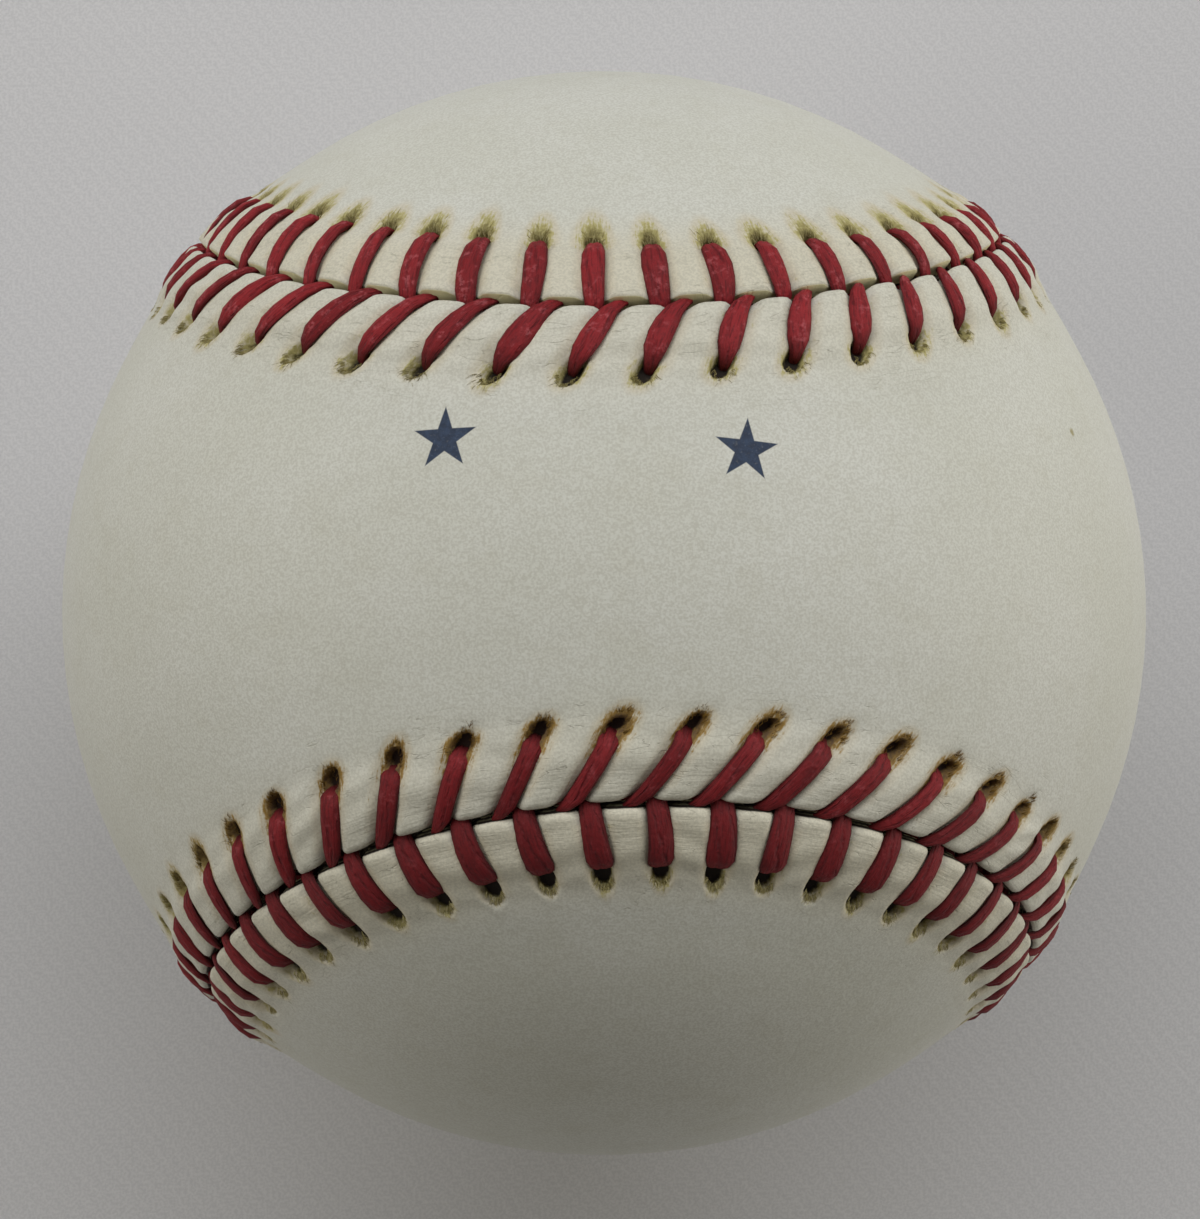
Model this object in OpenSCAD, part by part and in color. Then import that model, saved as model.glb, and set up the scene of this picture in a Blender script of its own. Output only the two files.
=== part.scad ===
// Baseball with a pill of cork and rubber, four windings, a cover of two leather panels
// and a raised seam of 108 double stitches. All lengths are in millimetres.
// The origin is the centre of the ball. The Z axis runs through the waists of both panels.

/* [Pill] */
// Diameter of the ball of cork and rubber in the middle
core_d = 20.6; // [19:0.1:22]
// Wall of the two black rubber half shells
black_t = 3.97; // [3:0.01:5]
// Thickness of the red washer between the half shells
washer_t = 1.6; // [1:0.1:3]
// Wall of the moulded red rubber shell
red_t = 2.38; // [1.5:0.01:3.5]

/* [Windings] */
// Girth over the four-ply grey wool
inner_grey_girth = 196.9; // [190:0.1:200]
// Girth over the three-ply white wool
white_girth = 208; // [203:0.1:212]
// Girth over the three-ply grey wool
outer_grey_girth = 222.3; // [216:0.1:223]
// Girth over the finishing yarn
finish_girth = 225.4; // [224:0.1:228]
// Clearance between one hidden layer and the next
layer_gap = 0.03; // [0.01:0.01:0.1]

/* [Leather] */
// Thickness of the leather away from the seam
leather_t = 1.15; // [1:0.05:1.4]
// Room for the adhesive coat between the finishing yarn and the leather
glue_gap = 0.12; // [0.1:0.01:0.2]
// Rise of the pillow between two stitches above the smooth leather
pillow_rise = 0.5; // [0.4:0.02:0.56]
// Rise of the leather at the outer end of a hole
rim_rise = 0.12; // [0.05:0.01:0.2]
// Distance from the seam line at which the leather is smooth and round again
swell_w = 9.5; // [8.5:0.1:10.5]

/* [Seam] */
// Number of double stitches
stitches = 108; // [100:4:116]
// Width of the flattened thread
thread_w = 1.2; // [0.8:0.05:1.3]
// Thickness of the flattened thread
thread_t = 0.5; // [0.4:0.05:0.6]
// Rise of a leg's top above the smooth leather
leg_rise = 0.85; // [0.75:0.05:0.95]
// Depth of a leg's middle line below the smooth leather at both of its ends
leg_dip = 0.35; // [0.3:0.01:0.4]
// Clearance between the thread under a panel and what it lies between
thread_gap = 0.05; // [0.03:0.01:0.08]
// Room under the middle of a leg, so that its edges clear the leather beside it too
seat_gap = 0.12; // [0.1:0.01:0.15]
// Mean distance from the seam line to the thread in its hole
hole_w = 4.3; // [4:0.1:4.8]
// Length of a punched hole, square to the seam
hole_l = 1.5; // [1.4:0.05:1.7]
// Breadth of a punched hole, along the seam
hole_b = 1.5; // [1.4:0.05:1.7]
// Distance from the seam line to the leather edge at a stitch
notch_w = 0.65; // [0.6:0.05:0.8]
// Length of the opening between the leather edges at a stitch
notch_l = 2.6; // [2.5:0.05:2.9]
// Distance from the seam line to the leather edge between two stitches
edge_gap = 0.12; // [0.08:0.02:0.2]

/* [Hidden] */
$fn = 96;
overrun = 1;

// Radii of the layers, from the middle out
core_r = core_d / 2;
black_r0 = core_r + layer_gap;
black_r1 = core_r + black_t;
red_r0 = black_r1 + layer_gap;
red_r1 = black_r1 + red_t;
inner_grey_r = inner_grey_girth / (2 * PI);
white_r = white_girth / (2 * PI);
outer_grey_r = outer_grey_girth / (2 * PI);
finish_r = finish_girth / (2 * PI);
leather_r0 = finish_r + glue_gap;
leather_r1 = leather_r0 + leather_t;

// Middle lines of the thread: the crest and the ends of a leg, and the run under a panel
crest_r = leather_r1 + leg_rise - thread_t / 2;
dip_r = leather_r1 - leg_dip;
under_r = finish_r + thread_gap + thread_t / 2;

// The leather near the seam: its underside is lifted off the yarn by the thread below it
lifted_r = under_r + thread_t / 2 + thread_gap;
pillow_r = leather_r1 + pillow_rise;
rim_r = leather_r1 + rim_rise;
// Shares of the pillow's thickness that its cut edge is rounded by, above and below
edge_top_share = 0.16;
edge_foot_share = 0.1;
edge_top_r = pillow_r - edge_top_share * (pillow_r - lifted_r);
edge_foot_r = lifted_r + edge_foot_share * (pillow_r - lifted_r);
// Share of a hole's length that lies on the seam's side of the thread in it
near_share = 0.57;
// The crown of a pillow, as a share of the way to the holes
crown_share = 0.5;

// The seam line is a closed curve whose lobe and depth shares give two equal panels
lobe_share = 0.5;
depth_share = 1.2;
function unit(v) = v / norm(v);
function seam_dir(u) = unit([sin(u) + lobe_share * sin(3 * u),
                             cos(u) - lobe_share * cos(3 * u),
                             depth_share * cos(2 * u)]);

// A table from distance along the seam to its angle, so that the stitches lie evenly
trace_steps = 720;
trace_turn = 360 / trace_steps;
trace = [for (i = 0, s = 0; i <= trace_steps;
              s = s + norm(seam_dir((i + 1) * trace_turn) - seam_dir(i * trace_turn)),
              i = i + 1) [s, i * trace_turn]];
seam_share = trace[trace_steps][0];
pitch = leather_r1 * seam_share / stitches;

// A place k stitches along the seam: its direction, the seam's heading and the way across
function wrap(k) = k - stitches * floor(k / stitches);
function seam_u(k) = lookup(wrap(k) * seam_share / stitches, trace);
function seam_at(k) = seam_dir(seam_u(k));
function heading(k) = unit(seam_dir(seam_u(k) + trace_turn) - seam_dir(seam_u(k) - trace_turn));
function across(k) = cross(seam_at(k), heading(k));
// The direction that lies w to the side of the seam line, towards panel b if w is positive
function beside(k, w) = let (turn = w / leather_r1 * 180 / PI)
  seam_at(k) * cos(turn) + across(k) * sin(turn);
function between(a, b, f) = let (t = acos(a * b))
  (a * sin((1 - f) * t) + b * sin(f * t)) / sin(t);

// Panel a lies on the negative side of the seam line and panel b on the positive side
side_a = -1;
side_b = 1;
// A crossing lies a little before its whole number, by a mean share and a swing round the seam
first_share = -0.2;
swing_share = -0.15;
function first_k(k) = k + first_share + swing_share * cos(seam_u(k));
// The leather stretches more round its lobes than along its waist, so the legs lean more in
// one place than in another, and reach further. Each list holds a mean, and then the cosine
// and the sine shares of one to five waves along the seam. A lean is a share of the pitch from
// the crossing to the hole, and a reach is a share of hole_w.
lean_a_shares = [-0.28, 0, 0.02, -0.11, 0.12, 0.04, 0.05, -0.16, 0.07, 0.04, 0.03];
lean_b_shares = [-0.29, -0.07, 0.04, 0.16, 0, 0.04, 0.07, -0.09, -0.02, 0.07, 0.03];
reach_a_shares = [1, -0.023, -0.005, -0.007, -0.033, -0.005, -0.009, 0.04, -0.021, 0.007, -0.012];
reach_b_shares = [1, -0.026, -0.026, -0.016, -0.065, 0.005, -0.044, 0.033, -0.046, 0.021, -0.021];
waves = (len(lean_a_shares) - 1) / 2;
function wave(shares, u, m = waves) = m == 0 ? shares[0]
  : shares[2 * m - 1] * cos(m * u) + shares[2 * m] * sin(m * u) + wave(shares, u, m - 1);
function hole_k(side, k) = first_k(k) + wave(side < 0 ? lean_a_shares : lean_b_shares, seam_u(k));
function reach(side, k) = hole_w * wave(side < 0 ? reach_a_shares : reach_b_shares, seam_u(k));
function hole_near(side, k) = reach(side, k) - near_share * hole_l;
function hole_far(side, k) = hole_near(side, k) + hole_l;
// The two threads of a stitch cross side by side in the gap between the panels
cross_k = (thread_w / 2 + thread_gap) / pitch;
function gap_k(side, k) = first_k(k) - side * cross_k;
function crown_k(side, k) = let (a = gap_k(side, k), b = hole_k(side, k)) a + crown_share * (b - a);
notch_k = notch_l / (2 * pitch);
hole_half_k = hole_b / (2 * pitch);
function gap_point(side, k) = beside(gap_k(side, k), 0);
function hole_point(side, k) = beside(hole_k(side, k), side * reach(side, k));

// A leg is one arc from the gap over a crest to the hole: half of its span, its radius and turn
function half_span(side, k) = acos(gap_point(side, k) * hole_point(side, k)) / 2;
function half_chord(side, k) = dip_r * sin(half_span(side, k));
function leg_r(side, k) = let (c = half_chord(side, k), h = crest_r - dip_r * cos(half_span(side, k)))
  (c * c + h * h) / (2 * h);
// Radius of the leather that a leg seats on, at a share of the way from the gap to the hole
function seat_r(side, k, share) = let (
  bend = leg_r(side, k),
  x = (2 * share - 1) * half_chord(side, k),
  tilt = asin(abs(x) / bend))
    norm([x, crest_r - bend + bend * cos(tilt)]) - thread_t / (2 * cos(tilt)) - seat_gap;
// A slanted leg reaches further at its edges, by this share of its way
slant_share = 0.07;

// Rows of points round a panel, for its outer or inner face, from the seam inwards
function edge_row(side, top) = [for (k = [0:stitches - 1])
  let (r = top ? seat_r(side, k, notch_w / reach(side, k) - slant_share) : edge_foot_r)
    each [
      beside(first_k(k) - notch_k, side * notch_w) * r,
      beside(first_k(k) + notch_k, side * notch_w) * r,
      beside(first_k(k) + 0.5, side * edge_gap) * (top ? edge_top_r : edge_foot_r)]];
function crown_row(side, top) = [for (k = [0:stitches - 1])
  let (w = side * crown_share * reach(side, k))
    each [
      beside(crown_k(side, k), w) * (top ? seat_r(side, k, crown_share) : lifted_r),
      beside(crown_k(side, k) + 0.5, w) * (top ? pillow_r : lifted_r)]];
function near_row(side, top) = [for (k = [0:stitches - 1])
  let (w = hole_near(side, k),
       r = top ? seat_r(side, k, w / reach(side, k) + slant_share) : lifted_r)
    each hole_pair(side, k, w, r)];
function far_row(side, top) = [for (k = [0:stitches - 1])
  each hole_pair(side, k, hole_far(side, k), top ? rim_r : lifted_r)];
function hole_pair(side, k, w, r) = [
  beside(hole_k(side, k) - hole_half_k, side * w) * r,
  beside(hole_k(side, k) + hole_half_k, side * w) * r];
// Inside the smooth row, ribs run across the panel from edge to edge, lobe to lobe
rib_parts = 8;
half_turn = stitches / 2;
function lobe_k(side) = side < 0 ? stitches / 4 : 0;
function smooth_row(side, r) = [for (k = [0:stitches - 1]) beside(k, side * swell_w) * r];
function rib_points(side, r) = [
  for (i = [1:half_turn - 1])
    let (a = beside(lobe_k(side) - i, side * swell_w), b = beside(lobe_k(side) + i, side * swell_w))
      for (j = [1:rib_parts - 1]) between(a, b, j / rib_parts) * r];
function face_points(side, top) = concat(
  edge_row(side, top),
  crown_row(side, top),
  near_row(side, top),
  far_row(side, top),
  smooth_row(side, top ? leather_r1 : leather_r0),
  rib_points(side, top ? leather_r1 : leather_r0));

// Where each row starts in the list of points of one face
at_crown = 3 * stitches;
at_near = at_crown + 2 * stitches;
at_far = at_near + 2 * stitches;
at_smooth = at_far + 2 * stitches;
at_ribs = at_smooth + stitches;
face_count = at_ribs + (half_turn - 1) * (rib_parts - 1);
function edge_i(j) = j % (3 * stitches);
function crown_i(j) = at_crown + j % (2 * stitches);
function near_i(j) = at_near + j % (2 * stitches);
function far_i(j) = at_far + j % (2 * stitches);
function smooth_i(k) = at_smooth + (k + stitches) % stitches;
function rib_i(side, i, j) = j == 0 ? smooth_i(lobe_k(side) - i)
  : j == rib_parts ? smooth_i(lobe_k(side) + i)
  : at_ribs + (i - 1) * (rib_parts - 1) + j - 1;

function quad(a, b, c, d) = [[a, b, c], [a, c, d]];
function flip(tris) = [for (t = tris) [t[2], t[1], t[0]]];
// The triangles of one face of a panel, with an opening at each hole
function face_tris(side) = concat(
  [for (k = [0:stitches - 1]) let (e = 3 * k, c = 2 * k) each concat(
    [[edge_i(e), edge_i(e + 1), crown_i(c)],
     [edge_i(e + 1), crown_i(c + 1), crown_i(c)],
     [edge_i(e + 1), edge_i(e + 2), crown_i(c + 1)],
     [edge_i(e + 2), edge_i(e + 3), crown_i(c + 1)],
     [edge_i(e + 3), crown_i(c + 2), crown_i(c + 1)],
     [crown_i(c), near_i(c + 1), near_i(c)],
     [crown_i(c), crown_i(c + 1), near_i(c + 1)],
     [crown_i(c + 1), near_i(c + 2), near_i(c + 1)],
     [crown_i(c + 1), crown_i(c + 2), near_i(c + 2)],
     [far_i(c), far_i(c + 1), smooth_i(k)],
     [far_i(c + 1), far_i(c + 2), smooth_i(k)],
     [far_i(c + 2), smooth_i(k + 1), smooth_i(k)]],
    quad(near_i(c + 1), near_i(c + 2), far_i(c + 2), far_i(c + 1)))],
  [for (i = [1:half_turn - 2]) for (j = [0:rib_parts - 1])
    each quad(rib_i(side, i, j + 1), rib_i(side, i + 1, j + 1), rib_i(side, i + 1, j), rib_i(side, i, j))],
  [for (j = [0:rib_parts - 1])
    [smooth_i(lobe_k(side)), rib_i(side, 1, j + 1), rib_i(side, 1, j)]],
  [for (j = [0:rib_parts - 1])
    [rib_i(side, half_turn - 1, j + 1), smooth_i(lobe_k(side) + half_turn), rib_i(side, half_turn - 1, j)]]);
// The walls of the cut edge and of the holes, between the outer and the inner face
function wall_tris() = concat(
  [for (e = [0:3 * stitches - 1])
    each quad(edge_i(e + 1), edge_i(e), face_count + edge_i(e), face_count + edge_i(e + 1))],
  [for (k = [0:stitches - 1])
    let (c = 2 * k, rim = [near_i(c), near_i(c + 1), far_i(c + 1), far_i(c)])
      for (j = [0:3])
        each quad(rim[j], rim[(j + 1) % 4], face_count + rim[(j + 1) % 4], face_count + rim[j])]);

module panel(side) {
  tris = concat(face_tris(side), flip([for (t = face_tris(side)) t + [face_count, face_count, face_count]]),
                wall_tris());
  polyhedron(points = concat(face_points(side, true), face_points(side, false)),
             faces = side < 0 ? tris : flip(tris));
}

module hollow_ball(r0, r1) {
  difference() {
    sphere(r1);
    sphere(r0);
  }
}

// A flat thread with round edges, bent about the Z axis to radius r
module bent_thread(r, turn) {
  rotate([0, 0, -turn / 2]) rotate_extrude(angle = turn, $fn = 48) translate([r, 0]) {
    square([thread_t, thread_w - thread_t], center = true);
    for (end = [-1, 1])
      translate([0, end * (thread_w - thread_t) / 2]) circle(d = thread_t, $fn = 16);
  }
}

// Sets a piece drawn about the X axis on the ball, halfway from one direction to another
module set_between(from, to) {
  out = unit(from + to);
  ahead = unit(to - from);
  side = cross(out, ahead);
  multmatrix([[out.x, ahead.x, side.x, 0], [out.y, ahead.y, side.y, 0], [out.z, ahead.z, side.z, 0]])
    children();
}

// The visible legs on one panel, each from the gap over the leather and down into its hole
module stitch_legs(side) {
  for (k = [0:stitches - 1])
    let (bend = leg_r(side, k))
      set_between(gap_point(side, k), hole_point(side, k)) translate([crest_r - bend, 0, 0])
        bent_thread(bend, 2 * asin(half_chord(side, k) / bend));
}

// The hidden runs under one panel, each from a leg on the other panel to the next hole
module under_thread(side) {
  for (k = [0:stitches - 1]) {
    from = gap_point(-side, k);
    to = hole_point(side, k + 1);
    set_between(from, to) bent_thread(under_r, acos(from * to));
  }
}

module cork_core() {
  color("peru") sphere(core_r);
}

module black_shell() {
  intersection() {
    hollow_ball(black_r0, black_r1);
    translate([0, 0, washer_t / 2 + layer_gap])
      cylinder(r = black_r1 + overrun, h = black_r1);
  }
}

module black_shell_lower() {
  color("dimgray") mirror([0, 0, 1]) black_shell();
}

module black_shell_upper() {
  color("dimgray") black_shell();
}

module red_washer() {
  color("indianred") intersection() {
    hollow_ball(black_r0, black_r1);
    cylinder(r = black_r1 + overrun, h = washer_t, center = true);
  }
}

module red_shell() {
  color("firebrick") hollow_ball(red_r0, red_r1);
}

module winding_inner_grey() {
  color("gray") hollow_ball(red_r1 + layer_gap, inner_grey_r);
}

module winding_white() {
  color("whitesmoke") hollow_ball(inner_grey_r + layer_gap, white_r);
}

module winding_outer_grey() {
  color("darkgray") hollow_ball(white_r + layer_gap, outer_grey_r);
}

module winding_finish() {
  color("linen") hollow_ball(outer_grey_r + layer_gap, finish_r);
}

module cover_panel_a() {
  color("ivory") panel(side_a);
}

module cover_panel_b() {
  color("ivory") panel(side_b);
}

module stitch_legs_a() {
  color("brown") stitch_legs(side_a);
}

module stitch_legs_b() {
  color("brown") stitch_legs(side_b);
}

module under_thread_a() {
  color("firebrick") under_thread(side_a);
}

module under_thread_b() {
  color("firebrick") under_thread(side_b);
}

cork_core();
black_shell_lower();
black_shell_upper();
red_washer();
red_shell();
winding_inner_grey();
winding_white();
winding_outer_grey();
winding_finish();
cover_panel_a();
cover_panel_b();
stitch_legs_a();
stitch_legs_b();
under_thread_a();
under_thread_b();
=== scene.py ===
# %% [markdown]
# # A baseball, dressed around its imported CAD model
# A baseball has a cover of two figure-eight panels of pale cowhide, sewn edge to edge with one
# waxed red thread. Everything that catches the eye lies within a finger's breadth of that
# seam: pillows of leather between the stitches, punched holes with frayed rims, and the
# flattened legs of the thread. The CAD model gives the size and the run of the seam. This
# script lays finer leather and thread over it, along the same curve.

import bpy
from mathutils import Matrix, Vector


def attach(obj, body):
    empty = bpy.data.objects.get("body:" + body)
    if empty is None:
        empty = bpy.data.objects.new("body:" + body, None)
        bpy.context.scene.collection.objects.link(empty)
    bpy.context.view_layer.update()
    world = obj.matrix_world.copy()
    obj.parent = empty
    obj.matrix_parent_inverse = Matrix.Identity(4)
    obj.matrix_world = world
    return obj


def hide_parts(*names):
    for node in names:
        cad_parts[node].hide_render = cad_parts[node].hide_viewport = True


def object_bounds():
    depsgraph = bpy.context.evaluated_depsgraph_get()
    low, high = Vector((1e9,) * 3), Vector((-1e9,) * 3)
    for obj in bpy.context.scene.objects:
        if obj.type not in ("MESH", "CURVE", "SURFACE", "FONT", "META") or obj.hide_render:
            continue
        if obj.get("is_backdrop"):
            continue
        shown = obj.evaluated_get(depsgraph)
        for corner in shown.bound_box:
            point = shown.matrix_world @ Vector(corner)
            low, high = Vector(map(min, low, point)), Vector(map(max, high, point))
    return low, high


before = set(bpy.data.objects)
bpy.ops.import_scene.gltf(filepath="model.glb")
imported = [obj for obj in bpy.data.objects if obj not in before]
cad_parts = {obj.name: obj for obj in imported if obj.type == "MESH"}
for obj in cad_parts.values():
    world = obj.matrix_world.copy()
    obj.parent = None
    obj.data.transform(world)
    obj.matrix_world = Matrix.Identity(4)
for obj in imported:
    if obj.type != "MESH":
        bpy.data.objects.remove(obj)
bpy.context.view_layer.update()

# %% Tools, and the unit of length
import math

import bpy
import numpy as np
from mathutils import Matrix, Vector

MM = 0.001  # lengths below are in millimetres, and this turns them into metres
YARN_GIRTH, ADHESIVE, LEATHER = 225.4, 0.12, 1.15
LEATHER_R = YARN_GIRTH / (2 * math.pi) + ADHESIVE + LEATHER
dice = np.random.RandomState(7)
print("radius of the smooth leather:", round(LEATHER_R, 3), "mm")

# %% [markdown]
# ## Camera
# The photograph looks down on the waist of one panel, so both runs of the seam show. The
# camera stands five ball radii from the middle of the ball. Its three directions are worked
# out from the line of sight and the picture's upward direction. The lens makes the ball as
# large as it is in the picture, and a small lens shift puts it where it lies there.

# %% Place the camera
PICTURE_W, PICTURE_H = 1200, 1219
SENSOR = 36.0
BALL_PX, MIDDLE_PX = 542.0, (604.1, 613.0)
RANGE_IN_RADII = 4.962
LENS_PX = BALL_PX * math.sqrt(RANGE_IN_RADII ** 2 - 1)
# The line of sight and the picture's upward direction, in the frame of the ball
sight = Vector((-0.05434, -0.10161, 0.99334)).normalized()
picture_up = Vector((0.0217, 0.9945, 0.1029))
picture_right = picture_up.cross(sight).normalized()
picture_up = sight.cross(picture_right)

camera = bpy.data.objects.new("camera", bpy.data.cameras.new("camera"))
bpy.context.scene.collection.objects.link(camera)
bpy.context.scene.camera = camera
turn = Matrix((picture_right, picture_up, sight)).transposed()
camera.matrix_world = Matrix.Translation(sight * RANGE_IN_RADII * LEATHER_R * MM) @ turn.to_4x4()
camera.data.sensor_width = SENSOR
camera.data.lens = SENSOR * LENS_PX / PICTURE_H
camera.data.shift_x = (PICTURE_W / 2 - MIDDLE_PX[0]) / PICTURE_H
camera.data.shift_y = (MIDDLE_PX[1] - PICTURE_H / 2) / PICTURE_H
camera.data.clip_start, camera.data.clip_end = 0.01, 10
print("lens:", round(camera.data.lens, 2), "mm")

# %% [markdown]
# ## The seam as a ruler
# The seam is one closed curve on the ball. Places near it are told by two numbers: k counts
# stitches along the seam, and w is the distance to one side in millimetres. With these,
# leather and thread can be made as if the seam were straight, and then laid on the ball.

# %% Directions along and beside the seam
STITCHES = 108
# How far the lobes bulge, and how far the seam swings up and down
LOBE, DEPTH = 0.5, 1.2
TRACE_STEPS = 7200
NUDGE = 0.002


def unit(v):
    return v / np.linalg.norm(v, axis=-1, keepdims=True)


def seam_direction(u):
    """The direction from the ball's middle to the seam at angle u."""
    return unit(np.stack([np.sin(u) + LOBE * np.sin(3 * u),
                          np.cos(u) - LOBE * np.cos(3 * u),
                          DEPTH * np.cos(2 * u)], -1))


trace_u = np.linspace(0, 2 * math.pi, TRACE_STEPS + 1)
trace_gaps = np.linalg.norm(np.diff(seam_direction(trace_u), axis=0), axis=1)
trace_s = np.concatenate([[0], np.cumsum(trace_gaps)])
PITCH = LEATHER_R * trace_s[-1] / STITCHES


def seam_angle(k):
    """The angle u at which stitch k lies, with the stitches evenly spaced."""
    return np.interp(np.mod(k, STITCHES) / STITCHES * trace_s[-1], trace_s, trace_u)


def beside(k, w):
    """The direction from the ball's middle to the place at stitch k, w to panel b's side."""
    u = seam_angle(k)
    at = seam_direction(u)
    ahead = unit(seam_direction(u + NUDGE) - seam_direction(u - NUDGE))
    turn = (w / LEATHER_R)[..., None]
    return at * np.cos(turn) + np.cross(at, ahead) * np.sin(turn)


print("stitch spacing:", round(PITCH, 3), "mm")

# %% [markdown]
# ## The hand of the sewer
# The holes don't lie at one fixed place beside their crossing. The leather stretches more
# round the lobes than along the waist, so the legs lean more in one place and less in
# another. A mean and five gentle waves along the seam describe that drift well. Side -1 is
# panel a and side 1 is panel b.

# %% Where the crossings and the holes lie
# For each side: the mean, then the cosine and sine shares of the waves. DRIFT says how far
# along the seam a hole lies, in stitches, and REACH how far beside it, in millimetres.
DRIFT = {-1: [-0.28, 0, 0.02, -0.11, 0.12, 0.04, 0.05, -0.16, 0.07, 0.04, 0.03],
         1: [-0.29, -0.07, 0.04, 0.16, 0, 0.04, 0.07, -0.09, -0.02, 0.07, 0.03]}
REACH = {-1: [4.31, -0.1, -0.02, -0.03, -0.14, -0.02, -0.04, 0.17, -0.09, 0.03, -0.05],
         1: [4.28, -0.11, -0.11, -0.07, -0.28, 0.02, -0.19, 0.14, -0.2, 0.09, -0.09]}
WAVES = 5
# Where the two legs of a stitch cross the seam: their distance from the crossing, and the
# crossing's own mean and swing. Then a leg's bow, and the share of its way where it ends.
CROSS_K, CROSS_MEAN, CROSS_SWING = 0.16, -0.2, -0.15
BOW, LEAN_END = 0.25, 1.35


def wave(k, shares):
    u = seam_angle(k)
    total = shares[0] + 0 * u
    for m in range(1, WAVES + 1):
        total = total + shares[2 * m - 1] * np.cos(m * u) + shares[2 * m] * np.sin(m * u)
    return total


def first(k):
    """How far the crossing of stitch k lies from k."""
    return CROSS_MEAN + CROSS_SWING * np.cos(seam_angle(k))


def hole_w(side, k):
    """How far from the seam the holes of a side are punched."""
    return wave(k, REACH[side])


def lean(side, k, w):
    """How far a leg has leaned along the seam, in stitches, when it is w from the seam."""
    gap = -side * CROSS_K
    share = np.clip(w / hole_w(side, k), 0, LEAN_END)
    return gap + (wave(k, DRIFT[side]) - gap) * (share + BOW * share * (1 - share))


print("holes lie", round(float(hole_w(-1, 0.0)), 2), "and", round(float(hole_w(1, 0.0)), 2),
      "mm from the seam at stitch 0")

# %% [markdown]
# ## Shader maths in plain Python
# A finish is a net of nodes. To keep it readable, a small class stands for one output of a
# node, and Python's own operators add the Math nodes. Every other node comes from one method,
# which sets the node's settings first and then its sockets.

# %% A number that varies over a surface


class Signal:
    """A number that varies over a surface."""

    def __init__(self, finish, socket):
        self.finish, self.socket = finish, socket

    def calc(self, operation, a, b=0.0):
        return self.finish.node("ShaderNodeMath", {0: a, 1: b}, operation=operation)

    def __add__(self, other):
        return self.calc("ADD", self, other)

    __radd__ = __add__

    def __sub__(self, other):
        return self.calc("SUBTRACT", self, other)

    def __rsub__(self, other):
        return self.calc("SUBTRACT", other, self)

    def __mul__(self, other):
        return self.calc("MULTIPLY", self, other)

    __rmul__ = __mul__

    def band(self, low, high):
        """0 below low, 1 above high and smooth between them."""
        return self.finish.node("ShaderNodeMapRange", {0: self, 1: low, 2: high},
                                interpolation_type="SMOOTHSTEP")


print("signs that make Math nodes: + - *")

# %% One material, and the method that makes its nodes


class Finish:
    """One material, with the method that makes all of its nodes."""

    def __init__(self, name):
        self.material = bpy.data.materials.new(name)
        self.material.use_nodes = True
        self.tree = self.material.node_tree
        self.tree.nodes.clear()

    def node(self, kind, sockets=None, out=0, **settings):
        made = self.tree.nodes.new(kind)
        for name, value in settings.items():
            setattr(made, name, value)
        for name, value in (sockets or {}).items():
            if isinstance(value, Signal):
                self.tree.links.new(value.socket, made.inputs[name])
            else:
                made.inputs[name].default_value = value
        return Signal(self, made.outputs[out])

    def attribute(self, name, out="Fac"):
        return self.node("ShaderNodeAttribute", out=out, attribute_name=name)

    def place(self, stretch=(1, 1, 1), from_uv=False):
        """Where a point lies on the ball in metres, or in the piece's UV map."""
        spot = self.node("ShaderNodeTexCoord", out="UV" if from_uv else "Object")
        return self.node("ShaderNodeMapping", {"Vector": spot, "Scale": stretch})

    def uv_part(self, part):
        return self.node("ShaderNodeSeparateXYZ", {0: self.place(from_uv=True)}, out=part)

    def noise(self, where, scale, detail=3.0, rough=0.55):
        return self.node("ShaderNodeTexNoise", {"Vector": where, "Scale": scale, "Detail": detail,
                                                "Roughness": rough}, out="Fac")

    def cells(self, where, scale):
        return self.node("ShaderNodeTexVoronoi", {"Vector": where, "Scale": scale},
                         out="Distance")

    def stripes(self, where, scale, wobble, detail, detail_scale=1.0):
        held = {"Vector": where, "Scale": scale, "Distortion": wobble, "Detail": detail,
                "Detail Scale": detail_scale}
        return self.node("ShaderNodeTexWave", held, out="Fac", bands_direction="DIAGONAL")

    def blend(self, share, under, over):
        """The colour over laid on the colour under by a share."""
        under, over = [c if isinstance(c, Signal) else (*c, 1) for c in (under, over)]
        return self.node("ShaderNodeMix", {0: share, 6: under, 7: over}, out=2, data_type="RGBA")

    def close(self, bumps=(), **sockets):
        """The Principled surface, with its bumps given as (height, depth in metres, strength)."""
        normal = None
        for height, depth, strength in bumps:
            held = {"Height": height, "Distance": depth, "Strength": strength}
            if normal:
                held["Normal"] = normal
            normal = self.node("ShaderNodeBump", held)
        if normal:
            sockets["Normal"] = normal
        held = {name.replace("_", " "): value for name, value in sockets.items()}
        skin = self.node("ShaderNodeBsdfPrincipled", held)
        end = self.tree.nodes.new("ShaderNodeOutputMaterial")
        self.tree.links.new(skin.socket, end.inputs["Surface"])
        return self.material


def paint(red, green, blue):
    """A colour as a picture shows it, 0 to 255, turned into the light that Blender counts in."""
    return tuple((v / 255 / 12.92) if v < 10.3 else ((v / 255 + 0.055) / 1.055) ** 2.4
                 for v in (red, green, blue))


print("a mid grey of 128 is", round(paint(128, 128, 128)[0], 3), "of full light")

# %% [markdown]
# ## Leather
# Full-grain cowhide is cream, with cloudy patches, a fine pebbled grain and a satin surface.
# The panels carry a colour attribute called marks: its red says where a face is cut leather,
# its green where shade is painted, inside a hole and low on the cut edge in the gap, its blue
# where fibres and wax stain a rim, and its alpha how amber that stain is. The mask edges are
# broken up with noise, so that they look torn.

# %% Where a place in the picture lies on the ball


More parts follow.
